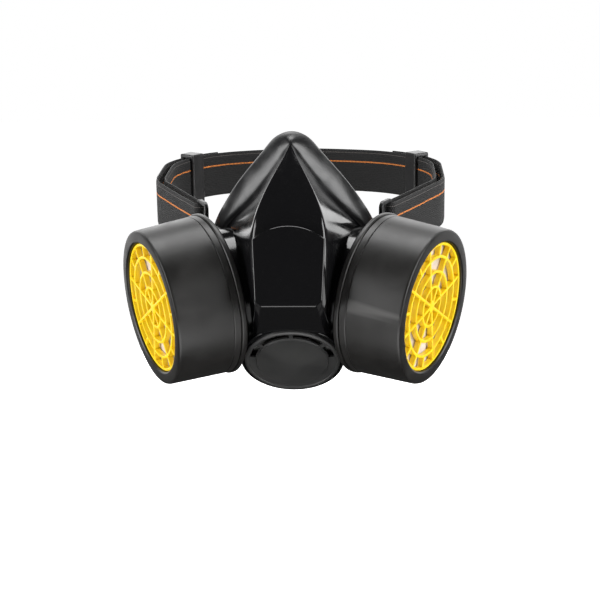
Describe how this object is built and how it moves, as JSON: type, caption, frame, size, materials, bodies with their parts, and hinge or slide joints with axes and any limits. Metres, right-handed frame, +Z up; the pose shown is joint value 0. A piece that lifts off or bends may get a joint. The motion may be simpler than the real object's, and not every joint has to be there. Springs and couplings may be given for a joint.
{
  "type": "half-mask respirator",
  "caption": "Half-mask respirator: gloss shell with rubber face seal, two screw-on filter cartridges, exhalation valve and elastic head strap.",
  "frame": {"origin": "on the centre plane at mouth height, in the middle of the face seal's opening", "axes": "+Z up, -Y the wearer's front, +X to the right seen from the front"},
  "size_m": [0.1804, 0.248, 0.1356],
  "materials": {
    "gloss_shell": "gloss",
    "seal_rubber": "satin",
    "satin_plastic": "satin",
    "grille_plastic": "satin",
    "filter_felt": "felt",
    "inner_plastic": "satin",
    "carbon": "granular",
    "valve_rubber": "satin",
    "buckle_plastic": "satin",
    "webbing": "woven"
  },
  "bodies": {
    "mask": {"front_shell": "gloss_shell", "face_seal": "seal_rubber", "exhale_valve_seat": "inner_plastic", "elastic_strap": "webbing", "strap_loop_left": "buckle_plastic", "strap_loop_right": "buckle_plastic", "port_collar_left": "inner_plastic", "port_collar_right": "inner_plastic", "inhale_valve_seat_left": "inner_plastic", "inhale_valve_seat_right": "inner_plastic"},
    "gasket_left": {"cartridge_gasket_left": "valve_rubber"},
    "cartridge_left": {"cartridge_case_left": "satin_plastic", "cartridge_base_left": "satin_plastic", "cartridge_grille_left": "grille_plastic", "cartridge_prefilter_left": "filter_felt", "cartridge_front_screen_left": "inner_plastic", "cartridge_carbon_bed_left": "carbon", "cartridge_rear_screen_left": "inner_plastic", "cartridge_dust_felt_left": "filter_felt"},
    "gasket_right": {"cartridge_gasket_right": "valve_rubber"},
    "cartridge_right": {"cartridge_case_right": "satin_plastic", "cartridge_base_right": "satin_plastic", "cartridge_grille_right": "grille_plastic", "cartridge_prefilter_right": "filter_felt", "cartridge_front_screen_right": "inner_plastic", "cartridge_carbon_bed_right": "carbon", "cartridge_rear_screen_right": "inner_plastic", "cartridge_dust_felt_right": "filter_felt"},
    "inhale_flap_left": {"inhale_valve_flap_left": "valve_rubber"},
    "inhale_flap_right": {"inhale_valve_flap_right": "valve_rubber"},
    "exhale_flap": {"exhale_valve_flap": "valve_rubber"},
    "exhale_cover": {"exhale_valve_cover": "satin_plastic"},
    "slider_left": {"strap_slider_left": "buckle_plastic"},
    "slider_right": {"strap_slider_right": "buckle_plastic"}
  },
  "joints": [
    {"name": "cartridge_travel_left", "type": "slide", "parent": "mask", "child": "gasket_left", "axis": [-0.8847, -0.4392, -0.1564], "range_m": [0, 0.0081]},
    {"name": "cartridge_turn_left", "type": "hinge", "parent": "gasket_left", "child": "cartridge_left", "pos_m": [-0.043, -0.022, 0], "axis": [-0.8847, -0.4392, -0.1564], "range_deg": [0, 720]},
    {"name": "cartridge_travel_right", "type": "slide", "parent": "mask", "child": "gasket_right", "axis": [0.8847, -0.4392, -0.1564], "range_m": [0, 0.0081]},
    {"name": "cartridge_turn_right", "type": "hinge", "parent": "gasket_right", "child": "cartridge_right", "pos_m": [0.043, -0.022, 0], "axis": [0.8847, -0.4392, -0.1564], "range_deg": [0, 720]},
    {"name": "inhale_flap_lift_left", "type": "slide", "parent": "mask", "child": "inhale_flap_left", "axis": [0.8847, 0.4392, 0.1564], "range_m": [0, 0.002], "stiffness_N_per_m": 10, "springref_m": -0.001},
    {"name": "inhale_flap_lift_right", "type": "slide", "parent": "mask", "child": "inhale_flap_right", "axis": [-0.8847, 0.4392, 0.1564], "range_m": [0, 0.002], "stiffness_N_per_m": 10, "springref_m": -0.001},
    {"name": "exhale_flap_lift", "type": "slide", "parent": "mask", "child": "exhale_flap", "axis": [0, -0.7314, -0.682], "range_m": [0, 0.002], "stiffness_N_per_m": 10, "springref_m": -0.001},
    {"name": "exhale_cover_pull", "type": "slide", "parent": "mask", "child": "exhale_cover", "axis": [0, -0.7314, -0.682], "range_m": [0, 0.012]},
    {"name": "strap_slider_slide_left", "type": "hinge", "parent": "mask", "child": "slider_left", "pos_m": [-0.02068, 0.10891, 0.04524], "axis": [0, 0.1305, -0.9914], "range_deg": [-10, 10]},
    {"name": "strap_slider_slide_right", "type": "hinge", "parent": "mask", "child": "slider_right", "pos_m": [0.02068, 0.10891, 0.04524], "axis": [0, -0.1305, 0.9914], "range_deg": [-10, 10]}
  ],
  "couplings": [
    {"joint": "cartridge_travel_left", "follows": "cartridge_turn_left", "m_per_rad": 0.00063662},
    {"joint": "cartridge_travel_right", "follows": "cartridge_turn_right", "m_per_rad": 0.00063662}
  ]
}
